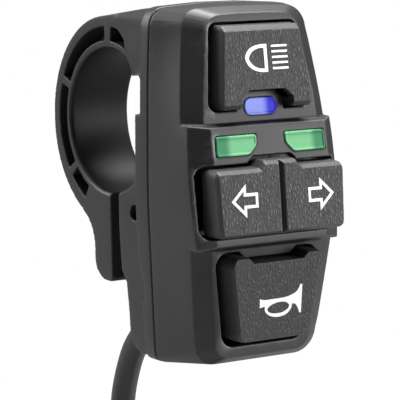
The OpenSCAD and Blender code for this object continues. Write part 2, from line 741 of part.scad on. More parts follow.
board_screw_r = 0.8;
module board_screws() {
  color("#b9bbbe") both_sides() for (p = board_screw_at) {
    difference() {
      union() {
        rod_y(1.5, board_front, board_front - 1, p[0], p[1]);
        rod_y(board_screw_r, plate_front + 0.8, board_front - eps, p[0], p[1]);
      }
      translate([p[0], board_front - 1, p[1]]) cube([1.8, 0.8, 0.4], center = true);
    }
  }
}

// Socket for the lead's wires, on the back of the board
lead_z = -26.9;
socket_h = 3.8;
module lead_socket() {
  color("#e6e2d6") difference() {
    box([-3.2, board_back, lead_z - 1.7], [3.2, board_back + socket_h, lead_z + 1.7]);
    box([-2.8, board_back + 1.4, lead_z - 1.2], [2.8, board_back + socket_h + 1, lead_z + 1.2]);
  }
}

// Five wires from the end of the cable to the socket
wire_r = 0.35;
module inner_wires() {
  for (i = [-2 : 2]) {
    start = stub_end - 0.25;
    line = [[i * 0.74, exit_y + start * sqrt(0.5), exit_z - start * sqrt(0.5)],
      [i * 0.8, -11.4, -25], [i * 0.9, -14, -25.4], [i, -17, -26.5],
      [i, board_back + socket_h - 0.2, lead_z], [i, board_back + 1.45, lead_z]];
    color(["#c0392b", "#e6c229", "#2d6cdf", "#2e9e5b", "#efefef"][i + 2]) tube(round_rings(line, wire_r, 8));
  }
}

// Rings of points round a line that runs mostly along Y and Z
function heading(line, k) = let (a = line[max(k - 1, 0)], b = line[min(k + 1, len(line) - 1)])
  (b - a) / norm(b - a);
function round_rings(line, r, sides) = [for (k = [0 : len(line) - 1])
  let (d = heading(line, k), u0 = cross([1, 0, 0], d), u = u0 / norm(u0), v = cross(d, u))
    [for (j = [0 : sides - 1]) let (a = -j * 360 / sides) line[k] + r * (cos(a) * u + sin(a) * v)]];

// Gland where the cable leaves the block, pointing down and back at 45 degrees
gland_r = 2.7;
gland_flange_r = 3.2;
gland_seat = -0.9;
stub_end = -5;
module gland_axis() {
  translate([0, exit_y, exit_z]) rotate([-135, 0, 0]) children();
}

module cable_gland() {
  color("#1a1a1a") gland_axis() difference() {
    union() {
      translate([0, 0, gland_seat - 2.6]) cylinder(r = gland_r, h = 2.6 + eps);
      translate([0, 0, gland_seat]) cylinder(r = gland_flange_r, h = 1.4);
    }
    translate([0, 0, -6]) cylinder(r = cable_r + slip, h = 12);
  }
}

// End of the cable, inside the gland
module cable_stub() {
  color("#202022") gland_axis() translate([0, 0, stub_end]) cylinder(r = cable_r, h = 0.55 - stub_end);
}

cable_line = [for (p = route) [0, p[0], p[1]]];
module cable() {
  color("#202022") tube(round_rings(cable_line, cable_r, 8));
}

// The coil: spirals in, climbs a layer in half a turn, spirals out and ends in a straight tail
function coil_radius(a) = a <= turns_in ? coil_r - loop_pitch * a / 360
  : a <= turns_in + 180 ? inner_r : inner_r + loop_pitch * (a - turns_in - 180) / 360;
function coil_layer(a) = loop_pitch * (a <= turns_in ? 0 : a >= turns_in + 180 ? 1
  : (1 - cos(a - turns_in)) / 2);
coil_turn = turns_in + 180 + turns_out;
function coil_point(a) = [coil_layer(a), coil_y + coil_radius(a) * cos(a), coil_z - coil_radius(a) * sin(a)];
coil_loop = [for (k = [0 : coil_turn * loop_steps / 360]) coil_point(k * 360 / loop_steps)];
coil_end = coil_loop[len(coil_loop) - 1];
coil_line = concat([coil_loop[0], coil_loop[0] - [0, 0, 2 * cable_r]],
  [for (k = [2 : len(coil_loop) - 2]) coil_loop[k]],
  [coil_end, coil_end - [0, 0, tail_len / 2], coil_end - [0, 0, tail_len]]);
coil_gap = min([for (i = [0 : len(coil_line) - 1], j = [i + 8 : 1 : len(coil_line) - 1])
  norm(coil_line[i] - coil_line[j])]) - 2 * cable_r;
module cable_coil() {
  echo(least_gap_of_coil = coil_gap);
  color("#202022") tube(round_rings(coil_line, cable_r, 6));
}

// Strap round the coil's turns
module cable_tie() {
  near = coil_y - coil_r - cable_r - 0.3;
  far = coil_y - inner_r + cable_r + 0.3;
  side = cable_r + 0.3;
  color("#0f0f10") difference() {
    box([-side - 0.8, near - 0.8, coil_z - 1.6], [loop_pitch + side + 0.8, far + 0.8, coil_z + 1.6]);
    box([-side, near, coil_z - 3], [loop_pitch + side, far, coil_z + 3]);
  }
}

connector_top = coil_end - [0, 0, tail_len];
module on_connector(drop) {
  translate(connector_top - [0, 0, drop]) children();
}

module connector_body() {
  color("#1b1b1d") difference() {
    union() {
      on_connector(connector_len * 0.4)
        cylinder(r1 = connector_r - 0.8, r2 = cable_r + 0.5, h = connector_len * 0.4);
      on_connector(connector_len) cylinder(r = connector_r - 0.8, h = connector_len * 0.6 + eps);
    }
    on_connector(connector_len + 1) cylinder(r = connector_r - 1.8, h = 6);
  }
}

module connector_ring() {
  color("#2b2b2e") difference() {
    on_connector(connector_len * 0.9) cylinder(r = connector_r, h = connector_len * 0.3);
    on_connector(connector_len + 1) cylinder(r = connector_r - 0.8 + slip, h = connector_len);
  }
}

module connector_pins() {
  color("#c9a84a") for (a = [0 : 72 : 288]) {
    on_connector(connector_len - 0.8) rotate([0, 0, a]) translate([1.4, 0, 0]) cylinder(r = 0.45, h = 4.2);
  }
}

front_case();
rear_case();
case_seal();
case_screws();
clamp_screw();
clamp_washer();
clamp_insert();
headlight_button();
headlight_spring();
headlight_switch();
headlight_stem();
turn_rocker();
rocker_pin();
turn_switch();
turn_slider();
horn_button();
horn_spring();
horn_switch();
horn_stem();
beam_lens();
turn_lens_left();
turn_lens_right();
beam_led();
turn_leds();
circuit_board();
board_screws();
lead_socket();
inner_wires();
cable_stub();
cable_gland();
cable();
cable_coil();
cable_tie();
connector_body();
connector_ring();
connector_pins();
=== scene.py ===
"""Handlebar switch cluster: mouldings, buttons, symbols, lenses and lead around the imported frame."""

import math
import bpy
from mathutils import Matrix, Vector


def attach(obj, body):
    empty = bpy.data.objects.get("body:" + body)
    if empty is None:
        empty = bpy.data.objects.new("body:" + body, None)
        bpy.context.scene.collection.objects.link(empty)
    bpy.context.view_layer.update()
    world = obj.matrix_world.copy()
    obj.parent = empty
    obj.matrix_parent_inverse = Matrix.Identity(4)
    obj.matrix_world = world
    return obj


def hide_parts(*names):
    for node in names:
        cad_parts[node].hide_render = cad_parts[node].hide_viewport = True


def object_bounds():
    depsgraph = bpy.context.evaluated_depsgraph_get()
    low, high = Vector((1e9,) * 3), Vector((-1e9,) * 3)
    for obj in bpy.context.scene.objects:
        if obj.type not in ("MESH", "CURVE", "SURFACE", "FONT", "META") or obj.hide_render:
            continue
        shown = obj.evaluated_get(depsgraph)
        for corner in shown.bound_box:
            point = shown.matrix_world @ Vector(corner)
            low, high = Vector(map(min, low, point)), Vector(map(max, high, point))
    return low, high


bl_info = {
    "name": "Handlebar switch cluster",
    "version": (1, 0, 0),
    "blender": (4, 5, 0),
    "location": "View3D > Sidebar > Switch cluster",
    "description": "Builds the looks of a clamp-on handlebar switch cluster",
    "category": "Object",
}

import bmesh
import bpy
import numpy as np
from mathutils import Matrix, Vector
from mathutils.geometry import tessellate_polygon
from mathutils.kdtree import KDTree

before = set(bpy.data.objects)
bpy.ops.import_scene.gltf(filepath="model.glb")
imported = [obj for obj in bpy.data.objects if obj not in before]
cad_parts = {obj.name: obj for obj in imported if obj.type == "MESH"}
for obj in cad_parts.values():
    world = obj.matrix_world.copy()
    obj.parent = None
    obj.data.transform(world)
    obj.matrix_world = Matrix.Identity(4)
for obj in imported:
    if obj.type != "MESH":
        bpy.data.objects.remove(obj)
CAD_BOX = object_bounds()
MM = 0.001
BODY = "base"
SHADER_SOCKETS = {"metallic": "Metallic", "specular_ior_level": "Specular IOR Level"}

# Moulded meshes: welding distance, turn of the voxel grid, strength of the smoothing, and the walls
WELD = 1e-6
GRID_TURN = Matrix.Rotation(math.radians(33), 4, Vector((0.4, 0.7, 0.6)))
SMOOTHING = 0.5
WALL_GROUP = "Walls"
WALL_FACING = 0.88

# Bend of an edge where its painted highlight or painted shade starts to show, and where it shows in full
BEND_START = 0.12
BEND_FULL = 0.6
# Facing where an edge starts to get its painted highlight or a face to be grained, and the span until it is
# in full
HIGHLIGHT_FROM, HIGHLIGHT_SPAN = 0.5, 0.15
GRAINED_FROM, GRAINED_SPAN = 0.85, 0.1

# The clamp's bore: its radius, the soft edge of its painted shade, and how dark that painted shade is
BORE_RADIUS = 0.0112
BORE_EDGE = 0.0002
BORE_SHADE = 0.35

# Leaning faces of the front: y at a height, that height, and lean per millimetre of height
HEADLIGHT_FACE = (-34.85, 4.0, 0.165)
TOP_PANEL = (-32.55, 4.0, 0.165)
BAR_PANEL = (-34.6, 2.35, 0.17)
ROCKER_FACE = (-38.25, -8.15, 0.106)
HORN_FACE = (-37.4, -15.3, -0.075)

# Route of the lead down to its coil, y and z in millimetres
ROUTE = [(-5.6, -29.6), (-3, -32.2), (0.1, -35.3), (2, -38), (3.7, -42), (4.6, -45.5), (5, -50),
         (5, -56), (5, -63), (5, -70)]
COIL_RADIUS = 22.6
LOOP_PITCH = 4.3
LOOPS_IN = 2
TAIL = 20.0
LOOP_STEPS = 36

# Symbols, x and z in millimetres
LAMP_OUTER = [(0.41, 13.62), (0.36, 9.72), (-0.89, 9.75), (-2.09, 10.08), (-3.04, 10.8), (-3.42, 11.72),
              (-3.04, 12.64), (-2.09, 13.3), (-0.84, 13.58)]
LAMP_INNER = [(-0.13, 13.1), (-0.17, 10.2), (-1.14, 10.27), (-2.17, 10.74), (-2.8, 11.66), (-2.2, 12.58),
              (-1.14, 13.05)]
LAMP_BAR = (1.21, 3.96, 0.31)
LAMP_BAR_TOP = 13.3
LAMP_BAR_STEP = 0.785
LAMP_BARS = 5
ARROW = [(8.92, -7.72), (6.42, -5.38), (6.42, -6.68), (4.4, -6.68), (4.4, -8.78), (6.42, -8.78),
         (6.42, -10.1)]
ARROW_LINE = 0.42
HORN_OUTER = [(-3.1, -22.25), (-2.3, -22.46), (-1.1, -22.46), (1.1, -22.42), (2.5, -22.15), (3.45, -21.65),
              (3.98, -20.75), (4.3, -20.75), (4.3, -24.97), (4.0, -24.95), (3.72, -24.25), (3.3, -23.65),
              (2.84, -23.48), (2.6, -23.55), (2.5, -24.15), (1.8, -24.85), (0.7, -25.16), (-0.43, -25.12),
              (-1.5, -24.72), (-2.12, -24.05), (-2.15, -23.4), (-3.05, -23.6)]
HORN_HOLE = [(-1.7, -23.86), (-1.03, -23.3), (0.2, -23.02), (1.38, -23.08), (2.1, -23.58), (1.9, -24.16),
             (0.93, -24.58), (-0.33, -24.63), (-1.3, -24.4)]
HORN_CORNERS = (0, 6, 7, 8, 9, 13, 20, 21)
SYMBOL_ROOT = -0.05

# Lenses, x and z in millimetres, with the radius of their corners
TURN_LENS = [(2.5, 1.1), (2.5, -0.3), (3.85, -1.7), (9.5, -1.7), (9.4, 1.1)]
TURN_LENS_RADIUS = 0.5
BEAM_LENS = [(2.8, 5.95), (-2.8, 5.95), (-2.8, 3.55), (2.8, 3.55)]
BEAM_LENS_RADIUS = 1.15
# Layers of a lens from back to front: how far it is drawn in, and its height off the panel
LENS_LAYERS = ((0, -2.0), (0, 0.12), (0.1, 0.25), (0.26, 0.25), (0.36, 0.14))


class SwitchSizes(bpy.types.PropertyGroup):
    """Sizes of the cluster's looks."""

    front_step: bpy.props.FloatProperty(
        name="Front step", description="Detail of the front shell", default=0.00012, unit="LENGTH",
        precision=5)
    rear_step: bpy.props.FloatProperty(
        name="Rear step", description="Detail of the rear shell", default=0.00015, unit="LENGTH",
        precision=5)
    button_step: bpy.props.FloatProperty(
        name="Button step", description="Detail of the moulded buttons", default=0.0001, unit="LENGTH",
        precision=5)
    symbol_height: bpy.props.FloatProperty(
        name="Symbol height", description="How far the symbols stand off the buttons", default=0.00004,
        unit="LENGTH", precision=6)
    lead_diameter: bpy.props.FloatProperty(
        name="Lead diameter", description="Thickness of the lead", default=0.0039, unit="LENGTH", precision=4)
    knurls: bpy.props.IntProperty(
        name="Knurls", description="Ribs round the connector's ring", default=28, min=8, max=60)
    view_distance: bpy.props.FloatProperty(
        name="View distance", description="Distance of the camera from the bar", default=0.35, unit="LENGTH")


class SwitchColours(bpy.types.PropertyGroup):
    """Colours of the cluster's finishes."""

    case: bpy.props.FloatVectorProperty(
        name="Case", description="Moulded shells", default=(0.022, 0.022, 0.0225), subtype="COLOR")
    button: bpy.props.FloatVectorProperty(
        name="Buttons", description="Grained buttons", default=(0.034, 0.034, 0.035), subtype="COLOR")
    symbol: bpy.props.FloatVectorProperty(
        name="Symbols", description="Printed symbols", default=(0.9, 0.9, 0.9), subtype="COLOR")
    beam: bpy.props.FloatVectorProperty(
        name="Beam lens", description="Lens below the headlight button", default=(0.33, 0.39, 1.0),
        subtype="COLOR")
    turn: bpy.props.FloatVectorProperty(
        name="Turn lenses", description="Lenses above the rocker", default=(0.17, 0.47, 0.235),
        subtype="COLOR")
    lead: bpy.props.FloatVectorProperty(
        name="Lead", description="Sheath of the lead", default=(0.02, 0.02, 0.021), subtype="COLOR")


def sizes():
    """The scene's sizes."""
    return bpy.context.scene.switch_sizes


def colours():
    """The scene's colours."""
    return bpy.context.scene.switch_colours


# Node trees

def add_node(tree, kind, inputs=(), **settings):
    """Adds a node, sets its options and fills or links its inputs by name or number."""
    node = tree.nodes.new(kind)
    for key, value in settings.items():
        setattr(node, key, value)
    for key, value in dict(inputs).items():
        if isinstance(value, bpy.types.NodeSocket):
            tree.links.new(value, node.inputs[key])
        else:
            node.inputs[key].default_value = value
    return node


def calculated(tree, operation, *values, **settings):
    """Result of a math node on some numbers or sockets."""
    node = add_node(tree, "ShaderNodeMath", dict(enumerate(values)), operation=operation, **settings)
    return node.outputs[0]


def mixed(tree, factor, a, b):
    """Colour between two colours, by a factor."""
    node = add_node(tree, "ShaderNodeMix", {"Factor": factor, "A": (*a, 1), "B": (*b, 1)}, data_type="RGBA")
    return node.outputs["Result"]


def object_place(tree):
    """Place on the object itself."""
    return add_node(tree, "ShaderNodeTexCoord").outputs["Object"]


def shader_group(name, inputs, outputs):
    """Starts a shader node group with named float inputs and outputs."""
    tree = bpy.data.node_groups.new(name, "ShaderNodeTree")
    for key, value in inputs.items():
        socket = tree.interface.new_socket(key, in_out="INPUT", socket_type="NodeSocketFloat")
        socket.default_value = value
    for key in outputs:
        tree.interface.new_socket(key, in_out="OUTPUT", socket_type="NodeSocketFloat")
    start = tree.nodes.new("NodeGroupInput")
    end = tree.nodes.new("NodeGroupOutput")
    return tree, start, end


def moulded_skin():
    """Fine texture of a spark-eroded mould, with a faint cloudiness."""
    name = "Moulded skin"
    if name in bpy.data.node_groups:
        return bpy.data.node_groups[name]
    tree, start, end = shader_group(name, {"Grain": 2600.0, "Cloud": 160.0}, ("Height", "Tone"))
    place = object_place(tree)
    grain = add_node(tree, "ShaderNodeTexNoise", {"Vector": place, "Detail": 3.0,
                                                  "Scale": start.outputs["Grain"], "Roughness": 0.6})
    cloud = add_node(tree, "ShaderNodeTexNoise", {"Vector": place, "Detail": 2.0,
                                                  "Scale": start.outputs["Cloud"]})
    both = calculated(tree, "ADD", grain.outputs["Fac"], cloud.outputs["Fac"])
    tree.links.new(grain.outputs["Fac"], end.inputs["Height"])
    tree.links.new(calculated(tree, "MULTIPLY", both, 0.5), end.inputs["Tone"])
    return tree


def leather_grain():
    """Upright wrinkles of a leather-grained mould."""
    name = "Leather grain"
    if name in bpy.data.node_groups:
        return bpy.data.node_groups[name]
    tree, start, end = shader_group(name, {"Wrinkles": 2700.0, "Wander": 0.0005}, ("Height", "Tone"))
    place = object_place(tree)
    wander = add_node(tree, "ShaderNodeTexNoise", {"Vector": place, "Scale": 700.0,
                                                   "Detail": 2.0})
    middle = add_node(tree, "ShaderNodeVectorMath", {0: wander.outputs["Color"], 1: (0.5, 0.5, 0.5)},
                      operation="SUBTRACT")
    shift = add_node(tree, "ShaderNodeVectorMath", {0: middle.outputs[0], "Scale": start.outputs["Wander"]},
                     operation="SCALE")
    moved = add_node(tree, "ShaderNodeVectorMath", {0: place, 1: shift.outputs[0]},
                     operation="ADD")
    tall = add_node(tree, "ShaderNodeMapping", {"Vector": moved.outputs[0], "Scale": (1.0, 0.5, 0.4),
                                                "Rotation": (0.0, 0.18, 0.0)})
    cells = add_node(tree, "ShaderNodeTexVoronoi", {"Vector": tall.outputs[0],
                                                    "Scale": start.outputs["Wrinkles"]},
                     feature="DISTANCE_TO_EDGE")
    ridge = add_node(tree, "ShaderNodeMapRange", {"Value": cells.outputs["Distance"], "From Max": 0.3},
                     interpolation_type="SMOOTHSTEP")
    fine = add_node(tree, "ShaderNodeTexNoise", {"Vector": tall.outputs[0], "Scale": 2600.0, "Detail": 2.0})
    both = calculated(tree, "MULTIPLY_ADD", fine.outputs["Fac"], 0.45, ridge.outputs[0])
    face = add_node(tree, "ShaderNodeAttribute", attribute_name="Front")
    height = calculated(tree, "MULTIPLY", both, face.outputs["Fac"])
    plain = add_node(tree, "ShaderNodeMix", {"Factor": face.outputs["Fac"], "A": 0.5, "B": ridge.outputs[0]})
    tree.links.new(height, end.inputs["Height"])
    tree.links.new(plain.outputs["Result"], end.inputs["Tone"])
    return tree


def painted_edge_light():
    """Painted highlights on edges and rims and painted shade in hollows, from what is stored on a moulding,
    and painted shade in the bore.
    """
    name = "Edge tone"
    if name in bpy.data.node_groups:
        return bpy.data.node_groups[name]
    tree, start, end = shader_group(name, {"Light": 2.2, "Dark": 0.5, "Lip": 1.0}, ("Tone", "Outside"))
    # Convex edges get a painted highlight and hollows get painted shade.
    bend = add_node(tree, "ShaderNodeAttribute", attribute_name="Bend")
    corner, hollow = (
        add_node(tree, "ShaderNodeMapRange", {"Value": bend.outputs["Fac"], "From Min": sign * BEND_START,
                                              "From Max": sign * BEND_FULL, "To Min": 1.0,
                                              "To Max": start.outputs[key]}, interpolation_type="SMOOTHSTEP")
        for sign, key in ((1, "Light"), (-1, "Dark")))
    rim = add_node(tree, "ShaderNodeAttribute", attribute_name="Rim")
    # The strips left of the pockets, which the buttons shade, get a painted highlight.
    strip_highlight = add_node(tree, "ShaderNodeMapRange", {"Value": rim.outputs["Fac"], "To Min": 1.0,
                                                "To Max": start.outputs["Lip"]})
    bright = calculated(tree, "MULTIPLY", corner.outputs[0], strip_highlight.outputs[0])
    both = calculated(tree, "MULTIPLY", bright, hollow.outputs[0])
    place = object_place(tree)
    across = add_node(tree, "ShaderNodeVectorMath", {0: place, 1: (0, 1, 1)},
                      operation="MULTIPLY")
    out = add_node(tree, "ShaderNodeVectorMath", {0: across.outputs[0]}, operation="LENGTH")
    # Painted shade darkens the colour inside the clamp's bore.
    bore = add_node(tree, "ShaderNodeMapRange", {"Value": out.outputs["Value"], "From Min": BORE_RADIUS,
                                                 "From Max": BORE_RADIUS + BORE_EDGE, "To Min": BORE_SHADE})
    tree.links.new(calculated(tree, "MULTIPLY", both, bore.outputs[0]), end.inputs["Tone"])
    tree.links.new(bore.outputs[0], end.inputs["Outside"])
    return tree


def new_material(name):
    """An empty node material with its output and a Principled shader."""
    material = bpy.data.materials.new(name)
    material.use_nodes = True
    tree = material.node_tree
    tree.nodes.clear()
    out = tree.nodes.new("ShaderNodeOutputMaterial")
    shader = tree.nodes.new("ShaderNodeBsdfPrincipled")
    tree.links.new(shader.outputs[0], out.inputs["Surface"])
    return material, tree, shader


def textured(name, colour, group, values, roughness, relief, spread=0.25, edges=None, bored=False,
             **plain):
    """Material that follows a shared group. Its edges get a painted highlight, its hollows painted shade and
    the strips by its pockets a painted highlight, by three factors.
    """
    if name in bpy.data.materials:
        return bpy.data.materials[name]
    material, tree, shader = new_material(name)
    texture = add_node(tree, "ShaderNodeGroup", node_tree=group)
    for key, value in values.items():
        texture.inputs[key].default_value = value
    dark = [c * (1 - spread) for c in colour]
    light = [c * (1 + spread) for c in colour]
    shade = mixed(tree, texture.outputs["Tone"], dark, light)
    if edges:
        tone = add_node(tree, "ShaderNodeGroup", {"Light": edges[0], "Dark": edges[1], "Lip": edges[2]},
                        node_tree=painted_edge_light())
        # Colour scaled by the painted highlights and painted shade, the bore's included.
        scaled = add_node(tree, "ShaderNodeVectorMath", {0: shade, "Scale": tone.outputs["Tone"]},
                          operation="SCALE")
        shade = scaled.outputs[0]
        if bored:
            shine = calculated(tree, "MULTIPLY", tone.outputs["Outside"], plain.pop("specular_ior_level"))
            tree.links.new(shine, shader.inputs["Specular IOR Level"])
    tree.links.new(shade, shader.inputs["Base Color"])
    vary = 0.06
    rough = add_node(tree, "ShaderNodeMapRange", {"Value": texture.outputs["Tone"],
                                                  "To Min": roughness + vary, "To Max": roughness - vary})
    tree.links.new(rough.outputs[0], shader.inputs["Roughness"])
    bump = add_node(tree, "ShaderNodeBump", {"Height": texture.outputs["Height"], "Strength": 1.0,
                                             "Distance": relief})
    tree.links.new(bump.outputs[0], shader.inputs["Normal"])
    for key, value in plain.items():
        shader.inputs[SHADER_SOCKETS[key]].default_value = value
    return material


def case_finish():
    """Textured moulding of the shells, with painted shade and less shine in the bore, and painted highlights
    and shade at its edges.
    """
    return textured("case_moulding", colours().case, moulded_skin(), {"Grain": 3000.0, "Cloud": 120.0},
                    roughness=0.46, relief=0.000008, spread=0.1, edges=(3.2, 0.45, 4.2), bored=True,
                    specular_ior_level=0.35)


def button_finish():
    """Leather-grained moulding of the buttons, with painted highlights and shade at its edges."""
    return textured("button_leather_grain", colours().button, leather_grain(), {}, roughness=0.5,
                    relief=0.00004, spread=0.2, edges=(1.7, 0.45, 1.0), specular_ior_level=0.35)


def rubber_finish(name="lead_sheath", colour=None):
    """Satin rubber, in the lead's colour if none is given."""
    return textured(name, colour or colours().lead, moulded_skin(), {"Grain": 1800.0, "Cloud": 200.0},
                    roughness=0.48, relief=0.000008, spread=0.15)


def metal_finish(name, colour, roughness):
    """Plated or turned metal."""
    return textured(name, colour, moulded_skin(), {"Grain": 5000.0, "Cloud": 700.0}, roughness,
                    relief=0.000002, spread=0.1, metallic=1.0)


def plain_plastic(name, colour, roughness=0.45):
    """Smooth moulding of one colour."""
    return textured(name, colour, moulded_skin(), {"Grain": 2200.0, "Cloud": 300.0}, roughness,
                    relief=0.000005, spread=0.1)


def lens_finish(name, colour, dark, from_x, to_x):
    """Coloured lens that is darker towards one end, by the distance along x from the middle."""
    if name in bpy.data.materials:
        return bpy.data.materials[name]
    material, tree, shader = new_material(name)
    place = object_place(tree)
    split = add_node(tree, "ShaderNodeSeparateXYZ", {0: place})
    end = add_node(tree, "ShaderNodeMapRange", {"Value": split.outputs["X"], "From Min": from_x * MM,
                                                "From Max": to_x * MM}, interpolation_type="SMOOTHSTEP")
    flecks = add_node(tree, "ShaderNodeTexNoise", {"Vector": place, "Scale": 500.0,
                                                   "Detail": 2.0})
    cloud = calculated(tree, "MULTIPLY_ADD", flecks.outputs["Fac"], 0.3, -0.15)
    level = calculated(tree, "ADD", end.outputs[0], cloud, use_clamp=True)
    tree.links.new(mixed(tree, level, colour, dark), shader.inputs["Base Color"])
    shader.inputs["Roughness"].default_value = 0.3
    shader.inputs["Specular IOR Level"].default_value = 0.05
    return material


def wire_finish():
    """One colour for each of the inner wires, by its place across the bundle."""
    if "inner_wire_colours" in bpy.data.materials:
        return bpy.data.materials["inner_wire_colours"]
    material, tree, shader = new_material("inner_wire_colours")
    place = object_place(tree)
    split = add_node(tree, "ShaderNodeSeparateXYZ", {0: place})
    reach = 0.0025
    across = add_node(tree, "ShaderNodeMapRange", {"Value": split.outputs["X"], "From Min": -reach,
                                                   "From Max": reach})
    ramp = add_node(tree, "ShaderNodeValToRGB", {0: across.outputs[0]})
    ramp.color_ramp.interpolation = "CONSTANT"
    shades = [(0.5, 0.03, 0.02), (0.75, 0.55, 0.04), (0.03, 0.14, 0.6), (0.03, 0.35, 0.1), (0.8, 0.8, 0.8)]
    marks = ramp.color_ramp.elements
    marks[1].position = 0.2
    for place_at in (0.4, 0.6, 0.8):
        marks.new(place_at)
    for mark, shade in zip(marks, shades):
        mark.color = (*shade, 1)
    tree.links.new(ramp.outputs[0], shader.inputs["Base Color"])
    shader.inputs["Roughness"].default_value = 0.4
    return material


# Meshes

def new_piece(name, mesh, materials, body=BODY):
    """Links a mesh as a piece that rides on a body."""
    piece = bpy.data.objects.new(name, mesh)
    bpy.context.scene.collection.objects.link(piece)
    mesh.materials.clear()
    for material in materials:
        mesh.materials.append(material)
    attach(piece, body)
    return piece


def finished_mesh(bm, name):
    """Turns a bmesh into a flat-shaded mesh with its faces pointing outwards."""
    bmesh.ops.recalc_face_normals(bm, faces=bm.faces)
    mesh = bpy.data.meshes.new(name)
    bm.to_mesh(mesh)
    bm.free()
    return mesh


def flat_piece(name, bm, materials, body):
    """Links a bmesh as a flat-shaded piece."""
    return new_piece(name, finished_mesh(bm, name), materials, body)


def evaluated_mesh(holder, name):
    """Plain mesh of an object with its modifiers applied. The object is removed."""
    graph = bpy.context.evaluated_depsgraph_get()
    mesh = bpy.data.meshes.new_from_object(holder.evaluated_get(graph), depsgraph=graph)
    mesh.name = name
    bpy.data.objects.remove(holder)
    return mesh


def modified(mesh, *steps, group=()):
    """Plain mesh after some modifiers, each a type with its settings, and a vertex group for them."""
    holder = bpy.data.objects.new(mesh.name, mesh)
    bpy.context.scene.collection.objects.link(holder)
    if len(group):
        holder.vertex_groups.new(name=WALL_GROUP).add(group, 1.0, "REPLACE")
    for kind, settings in steps:
        modifier = holder.modifiers.new(kind, kind)
        for key, value in settings.items():
            setattr(modifier, key, value)
    return evaluated_mesh(holder, mesh.name)


def corner_rows(mesh):
    """Places and normals of the corners of a mesh, a row for each corner."""
    tables = []
    for source, key in ((mesh.vertices, "co"), (mesh.vertex_normals, "vector")):
        values = np.empty(len(mesh.vertices) * 3)
        source.foreach_get(key, values)
        tables.append(values.reshape(-1, 3))
    return tables


def store(mesh, name, values):
    """Stores a number for each corner of a mesh."""
    mesh.attributes.new(name, "FLOAT", "POINT").data.foreach_set("value", values.astype(np.float32))


def side_walls(mesh):
    """Numbers of the corners of a mesh that face sideways."""
    _, normals = corner_rows(mesh)
    return np.flatnonzero(np.abs(normals[:, 0]) > WALL_FACING).tolist()


def moulded(name, node, step, rounds, ratio, wall_rounds=0):
    """Soft-edged copy of a CAD solid: refined on a turned grid, smoothed and thinned on its flats."""
    bm = bmesh.new()
    bm.from_mesh(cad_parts[node].data)
    bmesh.ops.remove_doubles(bm, verts=bm.verts, dist=WELD)
    bm.transform(GRID_TURN)
    mesh = bpy.data.meshes.new(name)
    bm.to_mesh(mesh)
    bm.free()
    mesh = modified(mesh, ("REMESH", {"mode": "VOXEL", "voxel_size": step}),
                    ("SMOOTH", {"factor": SMOOTHING, "iterations": rounds}))
    mesh.transform(GRID_TURN.inverted())
    if wall_rounds:
        mesh = modified(mesh, ("SMOOTH", {"factor": SMOOTHING, "iterations": wall_rounds,
                                          "vertex_group": WALL_GROUP}), group=side_walls(mesh))
    store_bends(mesh)
    mesh = modified(mesh, ("DECIMATE", {"ratio": ratio}))
    if wall_rounds:
        store_strip_highlights(mesh)
    mesh.name = name
    mesh.materials.clear()
    for polygon in mesh.polygons:
        polygon.use_smooth = True
    return mesh


def store_bends(mesh, reach=0.0006, rounds=4):
    """Stores how far each corner of a mesh bulges or is hollow, and how squarely it faces the front.

    Only bulges that face the front or the top count, because those are the edges that get the painted
    highlight.
    """
    count = len(mesh.vertices)
    places, normals = corner_rows(mesh)
    ends = np.empty(len(mesh.edges) * 2, dtype=np.int32)
    mesh.edges.foreach_get("vertices", ends)
    a, b = ends[0::2], ends[1::2]
    step = places[b] - places[a]
    square = np.maximum((step ** 2).sum(axis=1), WELD ** 2)
    number = np.maximum(np.bincount(a, minlength=count) + np.bincount(b, minlength=count), 1)
    total = np.bincount(a, -(normals[a] * step).sum(axis=1) / square, count)
    total += np.bincount(b, (normals[b] * step).sum(axis=1) / square, count)
    bend = total / number
    for _ in range(rounds):
        around = np.bincount(a, bend[b], count) + np.bincount(b, bend[a], count)
        bend = (bend + around / number) / 2
    # Only edges that face the front or the top keep their painted highlight.
    highlighted = np.clip((normals[:, 2] / 2 - normals[:, 1] - HIGHLIGHT_FROM) / HIGHLIGHT_SPAN, 0, 1)
    bend = np.where(bend > 0, bend * highlighted, bend)
    store(mesh, "Bend", np.clip(bend * reach, -1, 1))
    store(mesh, "Front", np.clip((-normals[:, 1] - GRAINED_FROM) / GRAINED_SPAN, 0, 1))


def store_strip_highlights(mesh, near=0.25 * MM, far=0.65 * MM, left=-6 * MM, sharpness=0.5, sideways=0.25, forward=0.6):
    """Stores how near each front-facing corner of a mesh is to a sharp edge at the left of a pocket, as the
    mask of a painted highlight on the strips there that the buttons shade.
    """
    places, normals = corner_rows(mesh)
    bends = np.empty(len(places), dtype=np.float32)
    mesh.attributes["Bend"].data.foreach_get("value", bends)
    sharp = np.flatnonzero((bends > sharpness) & (normals[:, 0] > sideways) & (places[:, 0] < left))
    nearest = KDTree(len(sharp))
    for number, place in enumerate(places[sharp]):
        nearest.insert(place, number)
    nearest.balance()
    rims = np.zeros(len(places))
    if len(sharp):
        for i in np.flatnonzero(normals[:, 1] < -forward):
            rims[i] = np.clip((far - nearest.find(places[i])[2]) / (far - near), 0, 1)
    store(mesh, "Rim", rims)


def mould_piece(name, node, material, body=BODY, **detail):
    """A moulded copy of a node, standing in for it, with moulded()'s detail."""
    piece = new_piece(name, moulded(name, node, **detail), [material], body)
    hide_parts(node)
    return piece


def face_y(face, z):
    """Depth of a leaning face at a height, in millimetres."""
    return face[0] + face[2] * (z - face[1])


def anticlockwise(points):
    """Outline that runs anticlockwise."""
    area = sum(a[0] * b[1] - b[0] * a[1] for a, b in zip(points, points[1:] + points[:1]))
    return list(points) if area > 0 else list(reversed(points))


